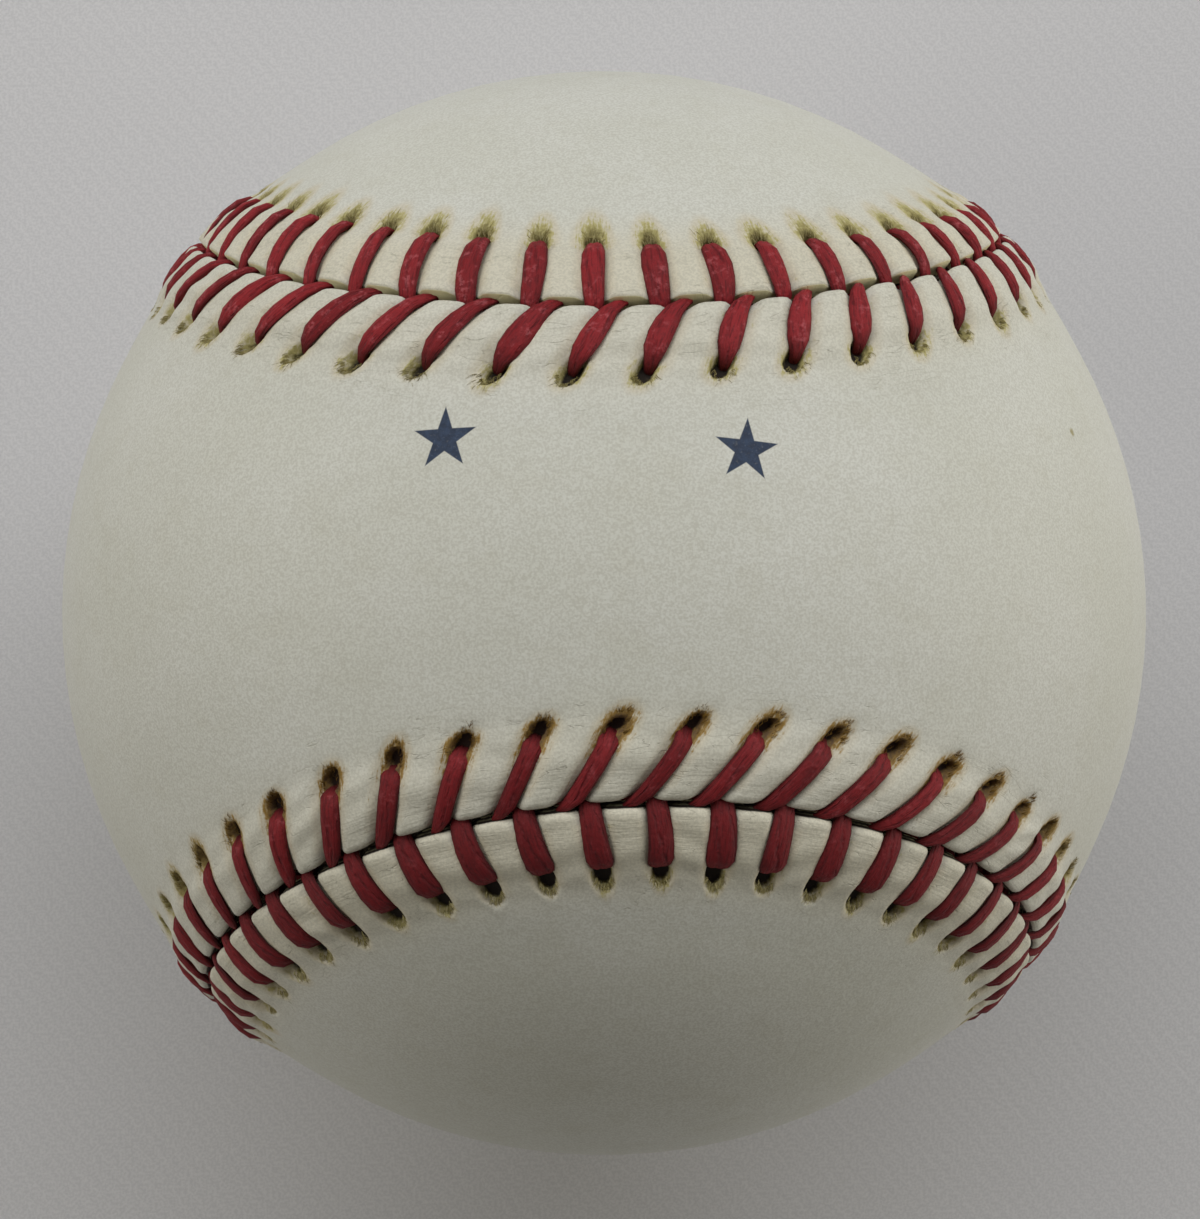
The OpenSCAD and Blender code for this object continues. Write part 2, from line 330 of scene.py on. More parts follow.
def ball_spot(x, y):
    """The direction from the ball's middle to what the camera shows at pixel x, y."""
    way = (picture_right * (x - MIDDLE_PX[0]) - picture_up * (y - MIDDLE_PX[1])
           - sight * LENS_PX).normalized()
    start = sight * RANGE_IN_RADII
    along = start.dot(way)
    return start + way * (-along - math.sqrt(along ** 2 - RANGE_IN_RADII ** 2 + 1))


STAR_SIZE = 1.82 * MM
# Each star: its place and its tilt in degrees. Each blot: its place, its size and its colour
STARS = [(ball_spot(444.7, 438.6), -2.7), (ball_spot(746.7, 449.9), 6.0)]
BLOTS = [(ball_spot(1072, 432), 0.28 * MM, paint(150, 136, 70)),
         (ball_spot(872, 322), 0.2 * MM, paint(170, 70, 84))]
print("stars lie", round((STARS[0][0] - STARS[1][0]).length * LEATHER_R, 1), "mm apart")

# %% Ink in the shape of a star
POINT_HALF = math.radians(36)  # half the angle between two points of the star
INK_FULL, INK_NONE = 0.31, 0.345


def star_ink(f, where, centre, tilt):
    """1 inside a star with five points that lies round a place on the ball, 0 outside it."""
    right = picture_up.cross(centre).normalized()
    up = centre.cross(right)
    angle = math.radians(tilt)
    ways = (right * math.cos(angle) - up * math.sin(angle),
            up * math.cos(angle) + right * math.sin(angle), centre)
    x, y, out = [f.node("ShaderNodeVectorMath", {0: where, 1: tuple(way / STAR_SIZE)},
                        out="Value", operation="DOT_PRODUCT") for way in ways]
    turn = x.calc("PINGPONG", x.calc("ARCTAN2", x, y), POINT_HALF)
    far = x.calc("SQRT", x * x + y * y)
    edge = far * x.calc("COSINE", turn - 2 * POINT_HALF)
    return (1 - edge.band(INK_FULL, INK_NONE)) * out.band(0, 1)


print("a star is about", round(2 * STAR_SIZE / MM, 1), "mm across")

# %% The finish of the panels


def leather_finish(name, warmth, stars=(), blots=()):
    """Cowhide that is warmer in tone near the seam, with ink and blots at the given places."""
    f = Finish(name)
    spot = f.place()
    marks, amber = f.attribute("marks", "Color"), f.attribute("marks", "Alpha")
    raw, pit_and_shade, stain = [f.node("ShaderNodeSeparateColor", {0: marks}, out=n) for n in range(3)]
    beside_seam = f.uv_part(1)

    # Patterns, from coarse to fine, and those that follow the seam
    cloud = f.noise(spot, 70, 4)
    mottle = f.noise(spot, 420, 3)
    fine = f.noise(spot, 5200, 3)
    grain = f.noise(spot, 6800, 1, 0.5)
    torn = f.noise(spot, 2600, 4, 0.7)
    pebbles = f.cells(spot, 2600)
    fibres = f.noise(f.place((26, 1.1, 1), from_uv=True), 1.0, 4, 0.65)
    folds = f.noise(f.place((620, 300, 420)), 1.0, 3, 0.55)
    pucker = f.noise(f.place((1.5, 5.0, 1), from_uv=True), 1.0, 3, 0.6)
    line = f.noise(f.place((1.1, 1.5, 1), from_uv=True), 1.0, 2, 0.5)
    crease = (1 - line.calc("ABSOLUTE", line - 0.5).band(0.0, 0.009)) * (
        1 - beside_seam.band(4.5, 8.5)) * mottle.band(0.46, 0.58)

    # The cream ground: clouds, a warm rim, mottling, pebbles, creases and grain
    cream = f.blend(cloud.band(0.35, 0.65), paint(220, 220, 208), paint(225, 225, 215))
    handled = (1 - beside_seam.band(2.6, 7.5)) * warmth
    cream = f.blend(handled, cream, paint(224, 216, 190))
    cream = f.blend(mottle.band(0.5, 0.72) * 0.18, cream, paint(205, 202, 183))
    cream = f.blend(pebbles.band(0.4, 0.8) * 0.07, cream, paint(170, 164, 142))
    # Painted shade: a darker line along each crease
    cream = f.blend(crease * 0.3, cream, paint(140, 134, 112))
    cream = f.blend(grain.band(0.38, 0.62) * 0.32, cream, paint(176, 172, 154))
    # Fibres and wax at the holes, from straw to rust
    near = (stain + (torn - 0.5) * 0.9 + (fibres - 0.5) * 0.8).band(0.55, 1.15)
    straw = f.blend(near, paint(188, 178, 112), paint(110, 99, 44))
    rust = f.blend(near, paint(160, 122, 28), paint(82, 52, 9))
    fibre = f.blend(amber, straw, rust)
    # Painted shade: near black inside a hole and low on the cut edge, a little amber at scorched
    # holes
    painted_hollow_shade = f.blend(amber, paint(30, 22, 16), paint(36, 18, 8))

    # Ragged masks: where fibres stain, where the leather is cut, and where shade is painted in a
    # hole or the gap
    ragged = (stain + (fibres - 0.5) * 1.5 + (torn - 0.5) * 1.0).band(0.32, 0.76)
    cut = (raw + (torn - 0.5) * 0.35).band(0.3, 0.7)
    hole_and_gap_shade = (pit_and_shade + (torn - 0.5) * 0.5).band(0.34, 0.84)
    colour = f.blend(stain.band(0.0, 0.35) * 0.3, cream, paint(208, 188, 146))
    colour = f.blend(ragged * 0.92, colour, fibre)
    colour = f.blend(cut * 0.92, colour, f.blend(torn, paint(224, 215, 162), paint(243, 237, 194)))
    # Paint the shade inside the holes and in the gap
    colour = f.blend(hole_and_gap_shade, colour, painted_hollow_shade)
    # Printed stars and stray blots
    for centre, tilt in stars:
        ink = star_ink(f, spot, centre, tilt)
        navy = f.blend(torn.band(0.35, 0.7), paint(26, 40, 62), paint(44, 62, 88))
        colour = f.blend(ink * (1 - grain.band(0.6, 0.8) * 0.1), colour, navy)
    for centre, size, stuff in blots:
        from_blot = f.node("ShaderNodeVectorMath", {0: spot, 1: tuple(centre * LEATHER_R * MM)},
                           out="Value", operation="DISTANCE")
        soft = 1 - (from_blot * (1 / size) + (torn - 0.5) * 1.2).band(0.4, 1.3)
        colour = f.blend(soft * 0.75, colour, stuff)

    rough = 0.5 + mottle * 0.1 + ragged * 0.3 + cut * 0.2
    return f.close(
        [(cloud, 0.0006, 0.2), (folds, 0.00016, 0.14), (1 - pebbles, 0.00006, 0.12),
         (pucker * (1 - beside_seam.band(1.2, 4.5)), 0.0003, 0.2), (1 - crease, 0.00008, 0.5),
         (fine + fibres * (ragged + cut) * 1.6, 0.00005, 0.35)],
        Base_Color=colour, Roughness=rough, Specular_IOR_Level=0.4, IOR=1.45)


leather_a = leather_finish("cowhide_with_stars", 0.35, STARS, BLOTS)
leather_b = leather_finish("cowhide_plain", 0.65)
print("leather nodes:", len(leather_a.node_tree.nodes))

# %% [markdown]
# ## Cover panels
# A panel could be cut from a ball with a knife-like tool, but its edge would then cross the
# mesh anyhow. It is better woven: a flat grid is laid over the panel like warp and weft. Each
# rib runs from the seam on one side, over the panel, to the seam on the other side, and the
# columns follow the lean of the stitches. The grid's points are then raised or sunk: up into
# a pillow between two legs, down under each leg and into each hole. Points that meet at the
# tips of the lobes are merged, and a second, coarser grid closes the underside.

# %% The profile of the leather beside the seam
# Columns from one leg to the next, closest together along the edges of the legs
PHASES = np.array([0, 0.06, 0.115, 0.155, 0.19, 0.23, 0.29, 0.38,
                   0.5, 0.62, 0.71, 0.77, 0.81, 0.845, 0.885, 0.94])
COLUMNS = len(PHASES)
RIBS = STITCHES * COLUMNS // 2
# Heights over the smooth leather: the foot of the cut edge, the underside, a hole's floor
LIFTED, UNDER, PIT_FLOOR = -0.67, -LEATHER, -0.6
PIT_DEPTH = 0.85
SMOOTH_W = 9.5  # from here on, beside the seam, the leather is smooth
# Rows beside the seam: up the cut wall, round the lip, to the hole, and past it in mm
WALL = [0.0, 0.35, 0.7]
LIP = np.radians([0, 22, 45, 68, 90])
TO_HOLE = [0.1, 0.2, 0.3, 0.39, 0.48, 0.56, 0.63, 0.69, 0.745, 0.795, 0.845, 0.895, 0.95, 1.0]
PAST_HOLE = [0.16, 0.32, 0.48, 0.66, 0.86, 1.1, 1.4, 1.8, 2.3, 2.9, 3.6]


def smooth(x, low, high):
    """0 below low, 1 above high and smooth between them."""
    t = np.clip((x - low) / (high - low), 0, 1)
    return t * t * (3 - 2 * t)


def ridge(w):
    """Height of the leather halfway between two legs."""
    return 0.45 * smooth(-w, -5.6, -2.4) + 0.17 * smooth(-w, -SMOOTH_W, -3.5)


def valley(w, reach):
    """Height of the leather under a leg."""
    return np.interp(w / reach, [0, 0.14, 0.28, 0.5, 0.72, 0.9, 1.1, 1.35],
                     [-0.45, -0.1, 0.15, 0.26, 0.18, -0.1, -0.06, 0.1])


# Six numbers from -1 to 1 for each stitch, so that no two stitches are alike
variety = {side: dice.uniform(-1, 1, (STITCHES, 6)) for side in (-1, 1)}


def traits(side, stitch):
    """The six numbers of each stitch, one row for each number."""
    return variety[side][np.mod(stitch.astype(int), STITCHES)].T


def scorched(side, k):
    """Where the needle has rubbed the holes brown: on panel a, far from stitch 0."""
    return smooth(-np.cos(seam_angle(k)), 0.82, 0.95) if side < 0 else 0 * k


def tufted(side, k):
    """Where long fluffy fibres stand at the holes: on panel b, near stitch 0."""
    return np.clip(0.5 + 0.6 * np.cos(seam_angle(k)), 0, 1) if side > 0 else 0 * k


def column(n):
    """The stitch number of column n, whole at a leg's middle."""
    return n // COLUMNS + PHASES[n % COLUMNS]


def pillow(side, k, w, rise):
    """Height of the leather between two legs, with the soft folds that the sewing leaves."""
    puff = traits(side, np.floor(k))
    slant = (2 * math.pi * (w / (2.3 + 0.5 * puff[1]) + 1.1 * puff[2] * (k % 1))
             + puff[3] * 6)
    folded = (0.06 + 0.03 * puff[4]) * np.sin(slant) * smooth(w, 0.6, 1.4)
    return (ridge(w) * (1 + 0.14 * puff[0] * rise)
            + folded * rise * smooth(-w, -5.5, -3.5))


print("pillow:", round(float(ridge(2.6)), 2), "mm, rows beside the seam:",
      len(WALL) + len(LIP) + len(TO_HOLE) + len(PAST_HOLE) + 1)

# %% The holes and what stains their rims


def from_hole(side, k, across, out):
    """How far a place lies from the middle of a hole, where 1 is about its rim."""
    own = traits(side, np.round(k))
    burnt, fluffy = scorched(side, k), tufted(side, k)
    wide_open = (1 - fluffy) * (side > 0)
    half_wide = 0.56 + 0.22 * wide_open - 0.08 * burnt + 0.07 * own[3]
    half_long = 0.82 - 0.2 * fluffy + 0.08 * wide_open - 0.24 * burnt + 0.12 * own[4]
    return np.hypot(across / half_wide, out / half_long)


def stained(side, k, across, out):
    """How much fibres and wax stain the leather round a hole and beside its leg, 0 to 1."""
    own = traits(side, np.round(k))
    burnt, fluffy = scorched(side, k), tufted(side, k)
    outward = out / (1.2 + 1.1 * fluffy - 0.25 * burnt + 0.3 * own[5])
    inward = -out / (0.9 + 1.4 * burnt)
    half_wide = 0.9 + 0.35 * fluffy + 0.1 * own[3] - 0.06 * burnt
    frayed = np.hypot(across / half_wide, np.where(out > 0, outward, inward))
    from_leg = np.abs((k - np.round(k)) * PITCH)
    rubbed = 0.24 * (1 - smooth(from_leg, 0.8, 1.6)) * (1 - smooth(out, 0, 1))
    return np.maximum(np.clip(1.3 + 0.2 * burnt - frayed, 0, 1), rubbed)


def leather_height(side, k, w, reach):
    """Height over the smooth leather, the hole's depth and painted shade, and the stain, at column
    k and distance w.
    """
    t = k - np.round(k)
    rise = smooth(np.abs(t), 0.05, 0.35)
    top = pillow(side, k, w, rise)
    held = smooth(-w, -1.5 * reach, -1.1 * reach)
    h = top - held * (top - valley(w, reach)) * (1 - rise)

    own = traits(side, np.round(k))
    across = t * PITCH - 0.16 * own[1]
    out = w - reach - 0.1 - 0.1 * own[2]
    rim = from_hole(side, k, across, out)
    # The hole sinks the leather, and the same mask paints shade in it; unscorched holes of panel a
    # get a little less
    pit_and_shade = 1 - smooth(rim, 0.6, 1.1)
    h = np.maximum(h - PIT_DEPTH * pit_and_shade, PIT_FLOOR)
    h = h + (0.03 + 0.05 * (out > 0)) * np.exp(-((rim - 1.3) / 0.25) ** 2)
    shallow = 0.15 * (side < 0) * (1 - scorched(side, k))
    return h, pit_and_shade * (1 - shallow), stained(side, k, across, out)


print("a hole is sunk by", PIT_DEPTH, "mm")

# %% Lay the strip beside the seam


def strip(side, k):
    """Rows of points from the foot of the cut edge to the smooth leather, at columns k.
    Returns directions, heights, marks and the place (k, w), each with a first axis of rows."""
    reach = hole_w(side, k)
    at_leg = (0.5 - np.abs(k - np.round(k))) / 0.5
    amber, open_cut = scorched(side, k), tufted(side, k)
    ajar = smooth(-np.cos(seam_angle(k)), 0, 0.8)
    edge = (0.17 - 0.07 * open_cut + 0.01 * ajar + 0.44 * at_leg ** 3
            + 0.13 * open_cut * (1 - at_leg ** 2))
    foot = np.minimum(edge, 0.1 + 0.4 * at_leg ** 3)
    lip_w, lip_h = 0.5 - 0.28 * open_cut, 0.42 - 0.24 * open_cut
    lip_end = edge + lip_w
    wall_top = leather_height(side, k, lip_end, reach)[0] - lip_h

    rows_w, rows_h, marks = [], [], []

    def add(w, h, pit_and_shade=0, stain=0, raw=0):
        rows_w.append(w + 0 * k)
        rows_h.append(h + 0 * k)
        marks.append(np.stack([raw + 0 * k, pit_and_shade + 0 * k, stain + 0 * k, amber], -1))

    for share in WALL:
        # Painted shade: the cut wall darkens towards its foot in the gap, less where the cut
        # stands open
        dark = 1 - share * (0.5 + 2.7 * open_cut)
        add(foot + (edge - foot) * share, LIFTED + (wall_top - LIFTED) * share, dark, raw=1)
    for angle in LIP:
        raw = np.clip(1 - angle / 0.9, 0, 1) * (0.35 + 0.65 * open_cut)
        # Painted shade: a thin dark line along the lip, next to the gap
        dark = np.clip(1 - angle / 0.75, 0, 1) * (1 - open_cut)
        add(edge + lip_w * (1 - math.cos(angle)), wall_top + lip_h * math.sin(angle), dark,
            raw=raw)
    for share in TO_HOLE:
        w = lip_end + (reach - lip_end) * share
        add(w, *leather_height(side, k, w, reach))
    for past in PAST_HOLE:
        add(reach + past, *leather_height(side, k, reach + past, reach))
    add(SMOOTH_W, 0)

    w = np.stack(rows_w)
    lay = k + first(k) + lean(side, k, w)
    return beside(lay, side * w), np.stack(rows_h), np.stack(marks), np.stack([k + 0 * w, w], -1)


for name, side in (("a", -1), ("b", 1)):
    strip_h = strip(side, column(np.arange(2 * COLUMNS)))[1]
    print("panel", name, "heights from", round(float(strip_h.min()), 2),
          "to", round(float(strip_h.max()), 2))

# %% Join the strips of two sides
# Steps across the smooth middle of the outside and of the underside
MIDDLE_PARTS, UNDER_PARTS = 16, 8
UNDER_W = [1.2, 4.4]
TINY_ANGLE = 1e-5


def great_arc(a, b, share):
    """The direction at a share of the way from a to b, along the ball."""
    angle = np.arccos(np.clip((a * b).sum(-1, keepdims=True), -1, 1))
    flat = angle < TINY_ANGLE
    safe = np.where(flat, 1, angle)
    mixed = (a * np.sin((1 - share) * safe) + b * np.sin(share * safe)) / np.sin(safe)
    return np.where(flat, unit(a + b), mixed)


def across_panel(left, right, parts, height):
    """Joins the rows of two sides with a smooth middle into one weft per rib."""
    shares = [(j + 1) / parts for j in range(parts - 1)]
    mid = np.stack([great_arc(left[0][-1], right[0][-1], s) for s in shares])
    mid_h = np.full(mid.shape[:2], height)
    mid_m = np.zeros((*mid.shape[:2], 4))
    mid_p = np.stack([(left if s < 0.5 else right)[3][-1] for s in shares])
    return [np.concatenate([a, between, b[::-1]])
            for a, between, b in zip(left, (mid, mid_h, mid_m, mid_p), right)]


def under_strip(side, k, above):
    """The underside of a strip: it starts at the foot of the cut edge above it."""
    foot = above[3][0][:, 1]
    w = np.stack([foot] + [v + 0 * k for v in (*UNDER_W, SMOOTH_W)])
    h = np.stack([LIFTED + 0 * k] * 3 + [UNDER + 0 * k])
    lay = k + first(k) + lean(side, k, w)
    marks = np.zeros((*w.shape, 4))
    marks[..., 0] = 1
    return beside(lay, side * w), h, marks, np.stack([k + 0 * w, w], -1)


print("ribs of a panel:", RIBS + 1)

# %% Weave a grid, and finish a mesh


def weave(name, directions, heights, marks, places):
    """A grid primitive whose points are laid on the ball, with marks and a UV map."""
    rows, ribs = heights.shape
    bpy.ops.mesh.primitive_grid_add(x_subdivisions=ribs - 1, y_subdivisions=rows - 1, size=2)
    cloth = bpy.context.object
    cloth.name = name
    mesh = cloth.data
    flat = np.zeros(len(mesh.vertices) * 3)
    mesh.vertices.foreach_get("co", flat)
    flat = flat.reshape(-1, 3)
    rib = np.rint((flat[:, 0] + 1) / 2 * (ribs - 1)).astype(int)
    row = np.rint((flat[:, 1] + 1) / 2 * (rows - 1)).astype(int)
    points = directions[row, rib] * ((LEATHER_R + heights[row, rib]) * MM)[:, None]
    mesh.vertices.foreach_set("co", points.ravel())
    layer = mesh.attributes.new("marks", "FLOAT_COLOR", "POINT")
    layer.data.foreach_set("color", marks[row, rib].ravel().astype(np.float32))
    corner = np.zeros(len(mesh.loops), int)
    mesh.loops.foreach_get("vertex_index", corner)
    uv = places[row, rib][corner]
    mesh.uv_layers.active.data.foreach_set("uv", uv.ravel().astype(np.float32))
    return cloth


def finish_mesh(piece, merge, angle=60):
    """Merges doubled points, turns the faces outwards and smooths the shading."""
    bpy.ops.object.select_all(action="DESELECT")
    bpy.context.view_layer.objects.active = piece
    piece.select_set(True)
    bpy.ops.object.mode_set(mode="EDIT")
    bpy.ops.mesh.select_all(action="SELECT")
    if merge:
        bpy.ops.mesh.remove_doubles(threshold=merge)
    bpy.ops.mesh.normals_make_consistent(inside=False)
    bpy.ops.object.mode_set(mode="OBJECT")
    bpy.ops.object.shade_smooth_by_angle(angle=math.radians(angle))


print("a rib carries", 2 * (len(WALL) + len(LIP) + len(TO_HOLE) + len(PAST_HOLE) + 1)
      + MIDDLE_PARTS - 1, "points on its outside")

# %% Make both panels
MERGE = 1e-7


def cover_panel(name, side, lobe, leather):
    """One panel, woven outwards from stitch number lobe, the tip of one of its lobes."""
    bpy.ops.object.select_all(action="DESELECT")
    i = np.arange(RIBS + 1)
    k_left, k_right = column(lobe * COLUMNS - i), column(lobe * COLUMNS + i)
    left, right = strip(side, k_left), strip(side, k_right)
    outer = weave(name, *across_panel(left, right, MIDDLE_PARTS, 0.0))
    bpy.ops.object.select_all(action="DESELECT")
    lower = [under_strip(side, k_left, left), under_strip(side, k_right, right)]
    weave(name + "_underside", *across_panel(*lower, UNDER_PARTS, UNDER))
    # The new underside is selected, so the join adds it to the outside
    outer.select_set(True)
    bpy.context.view_layer.objects.active = outer
    bpy.ops.object.join()
    finish_mesh(outer, MERGE)
    outer.data.materials.clear()
    outer.data.materials.append(leather)
    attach(outer, "root")
    return outer


panel_a = cover_panel("leather_panel_a", -1, 27, leather_a)
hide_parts("cover_panel_a")
panel_b = cover_panel("leather_panel_b", 1, 0, leather_b)
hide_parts("cover_panel_b")
for piece in (panel_a, panel_b):
    piece.data.calc_loop_triangles()
    print(piece.name, len(piece.data.loop_triangles), "triangles")

# %% [markdown]
# ## Waxed thread
# The thread is drawn flat by the sewing. It shows twisted plies and fine filaments along its
# length, and pale flecks that are partly wax and partly painted highlight. The legs carry a UV
# map, around and along, so the filaments follow the thread. An attribute called tone differs
# from leg to leg, and a second attribute holds painted shade: it darkens the flanks, what goes
# down into a hole, and the legs along the lower seam.

# %% The finish of the thread
PLIES, TWIST = 5, 0.32


def thread_finish(name):
    f = Finish(name)
    tone, painted_shade = f.attribute("tone"), f.attribute("painted_shade")
    filaments = f.noise(f.place((34, 1.5, 1), from_uv=True), 1.0, 3, 0.6)
    lumps = f.noise(f.place((7, 1.6, 1), from_uv=True), 1.0, 2, 0.5)
    wound = f.uv_part(0) * PLIES + f.uv_part(1) * TWIST + lumps * 0.5
    groove = (1 - wound.calc("PINGPONG", wound, 0.5).band(0.0, 0.2)) * lumps.band(0.36, 0.58)
    speck = f.noise(f.place(), 3800, 3, 0.65)
    wax = f.noise(f.place(), 1300, 3, 0.6)
    red = f.blend(tone * 0.3 + filaments * 0.7, paint(96, 8, 14), paint(172, 44, 50))
    red = f.blend(filaments.band(0.5, 0.32) * 0.5, red, paint(78, 8, 16))
    red = f.blend(speck.band(0.5, 0.3) * 0.35, red, paint(84, 10, 20))
    # Painted shade in the grooves between the plies
    red = f.blend(groove * 0.3, red, paint(56, 6, 14))
    # Pale flecks: partly wax on the thread, partly painted highlight, fewer where shade is painted
    wax_and_highlights = wax.band(0.5, 0.7) * speck.band(0.42, 0.62) * (0.5 - painted_shade)
    red = f.blend(wax_and_highlights, red, paint(208, 112, 118))
    # Painted shade: near black on the flanks, down in the holes and along the lower seam
    red = f.blend(painted_shade, red, paint(34, 5, 6))
    return f.close([(1 - groove, 0.00014, 0.6), (filaments, 0.00012, 0.8), (wax, 0.0001, 0.4),
                    (speck, 0.00005, 0.7)],
                   Base_Color=red, Roughness=0.56 + speck * 0.2, Specular_IOR_Level=0.27)


waxed_thread = thread_finish("thread_waxed_red")
print("thread nodes:", len(waxed_thread.node_tree.nodes))

# %% [markdown]
# ## Stitch legs
# Each stitch shows two legs. A leg of panel a starts in the gap, ahead of its crossing, climbs
# over the root of the other leg and then over the pillow's edge, and dives into its hole. One
# straight leg is modelled from a circle of nine points, extruded in nine steps. Its copies
# are then laid along the path of each stitch, with small changes so that no two are alike.

# %% Model one straight leg
# A leg's section, for half a width and half a thickness of 1: grooved on top and flat below
SECTION = [(-1, 0), (-0.8, 0.6), (-0.38, 0.98), (0, 0.84), (0.38, 0.98), (0.8, 0.6), (1, 0),
           (0.6, -0.8), (-0.6, -0.8)]
LEG_STEPS = 9


def straight_leg():
    bpy.ops.object.select_all(action="DESELECT")
    bpy.ops.mesh.primitive_circle_add(vertices=len(SECTION), radius=1, fill_type="NGON")
    leg = bpy.context.object
    order = sorted(leg.data.vertices, key=lambda v: -math.atan2(-v.co.y, -v.co.x))
    for v, (x, y) in zip(order, SECTION):
        v.co.x, v.co.y = x, y
    bpy.ops.object.mode_set(mode="EDIT")
    bpy.ops.mesh.select_all(action="SELECT")
    for _ in range(LEG_STEPS):
        bpy.ops.mesh.extrude_region_move(TRANSFORM_OT_translate={"value": (0, 0, 1)})
    bpy.ops.mesh.select_all(action="SELECT")
    bpy.ops.mesh.normals_make_consistent(inside=False)
    bpy.ops.object.mode_set(mode="OBJECT")
    return leg


def shape_of(blank):
    """The points and faces of a small blank, and the blank is thrown away. Each face starts at
    its first point and the faces are sorted, so that every run gives the same mesh."""
    points = np.array([v.co for v in blank.data.vertices])
    faces = []
    for face in blank.data.polygons:
        corners = list(face.vertices)
        start = corners.index(min(corners))
        faces.append(corners[start:] + corners[:start])
    bpy.data.objects.remove(blank)
    return points, sorted(faces)


leg_points, leg_faces = shape_of(straight_leg())
print("one leg:", len(leg_points), "points,", len(leg_faces), "faces")

# %% The path of a leg
# Each row: share of the way to the hole, lead along the seam in stitches, then height, half
# width and half thickness in millimetres
LEG_PATH = {
    -1: [(-0.085, 0.23, -0.50, 0.07, 0.12), (-0.045, 0.15, -0.08, 0.20, 0.18),
         (0.035, 0.05, 0.22, 0.42, 0.24), (0.16, 0.0, 0.42, 0.62, 0.27),
         (0.36, 0.0, 0.52, 0.80, 0.28), (0.56, 0.0, 0.52, 0.86, 0.28),
         (0.76, 0.0, 0.40, 0.84, 0.28), (0.92, 0.0, 0.10, 0.76, 0.27),
         (1.00, 0.0, -0.40, 0.60, 0.26), (1.03, 0.0, -0.95, 0.40, 0.24)],
    1: [(-0.16, -0.04, -0.85, 0.40, 0.22), (-0.08, -0.02, -0.32, 0.50, 0.25),
        (0.02, 0.0, 0.04, 0.62, 0.26), (0.15, 0.0, 0.31, 0.69, 0.26),
        (0.34, 0.0, 0.48, 0.75, 0.27), (0.56, 0.0, 0.53, 0.80, 0.28),
        (0.80, 0.0, 0.45, 0.81, 0.28), (0.96, 0.0, 0.13, 0.74, 0.28),
        (1.03, 0.0, -0.38, 0.58, 0.26), (1.03, 0.0, -0.95, 0.40, 0.24)]}
# The share of that width which the legs keep where the seam's angle has these cosines
FULL_AT = [-1, -0.9, 0.92, 1]
FULLNESS = {-1: [0.92, 0.8, 0.7, 0.92], 1: [1.06, 0.81, 0.7, 0.94]}


def pulled_and_shaded(k):
    """Where the legs are pulled in, and painted darker as shade, far from stitch 0."""
    return smooth(-np.cos(seam_angle(k)), -0.2, 0.6)


def leg_line(side, k, path):
    """The middle of each leg at each step of its path, and the ways sideways and up there."""
    own, share = variety[side], path[:, 0]
    tight = pulled_and_shaded(k)
    pulled = 0.11 * tight + 0.05 * (side < 0) * (1 - tight)
    w = share * hole_w(side, k) * (1 - pulled * smooth(share, 0.6, 0.95))
    lead = path[:, 1] + 0.05 * own[:, 1:2] * np.sin(np.pi * np.clip(share, 0, 1))
    lay = k + first(k) + lean(side, k, w) + lead
    height = path[:, 2] * (1 + 0.06 * own[:, 0:1])
    middle = beside(lay, side * w) * (LEATHER_R + height)[..., None]
    ahead = unit(np.gradient(middle, axis=1))
    up = unit(middle)
    up = unit(up - (up * ahead).sum(-1, keepdims=True) * ahead)
    return middle, np.cross(up, ahead), up


every_k = np.arange(STITCHES)[:, None] + 0.0
leg_mm = np.diff(leg_line(1, every_k, np.array(LEG_PATH[1]))[0], axis=1)
print("a leg of panel b is about", round(float(np.linalg.norm(leg_mm, axis=-1).sum(1).mean()), 1),
      "mm long")

# %% The width of a leg and its painted shade


def pointed(side, k):
    """How far the legs narrow to a point at their holes."""
    return (1 - scorched(side, k)) * (side < 0) + 0.7 * tufted(side, k)


def leg_offsets(side, k, path, step):
    """How far each point of each leg lies sideways of the leg's middle, and above it."""
    own, share = variety[side], path[step, 0]
    slim = 1 - 0.32 * pointed(side, k) * smooth(share, 0.66, 1.0)
    square = 1.5 * smooth(share, 0.8, 1.0)
    slim = slim * (1 - 0.22 * scorched(side, k) * (smooth(share, 0.1, 0.4) - square))
    full = np.interp(np.cos(seam_angle(k)), FULL_AT, FULLNESS[side])
    x = leg_points[:, 0] * (path[step, 3] * (1 + 0.09 * own[:, 2:3]) * slim * full)
    y = leg_points[:, 1] * (path[step, 4] * (1 + 0.06 * own[:, 3:4]))
    roll = 0.22 * own[:, 4:5] * np.sin(np.pi * step / LEG_STEPS)
    return x * np.cos(roll) - y * np.sin(roll), x * np.sin(roll) + y * np.cos(roll)


def leg_shade(side, k, path, step):
    """How much painted shade each point of each leg gets: on its flanks, towards its hole, down in
    it, and along the lower seam.
    """
    share = path[step, 0]
    flank = smooth(np.abs(leg_points[:, 0]), 0.75, 1)
    # Painted shade: along the lower seam, on the flanks, and towards and down into the hole
    dim = (0.28 + 0.06 * side) * pulled_and_shaded(k) + 0.45 * flank
    dim = dim + (side < 0) * pointed(side, k) * (0.3 * smooth(share, 0.7, 1.0)
                                                 + 0.3 * smooth(share, 0.86, 1.0))
    return np.minimum(np.maximum(smooth(-path[step, 2], 0.1, 0.6), dim), 1)


print("legs keep", FULLNESS[-1][-1], "and", FULLNESS[1][-1], "of their width at stitch 0")

# %% Lay the legs
UV_LENGTH, UV_SHIFT = 5.2, 7.3  # of a leg in its UV map, and from one leg to the next


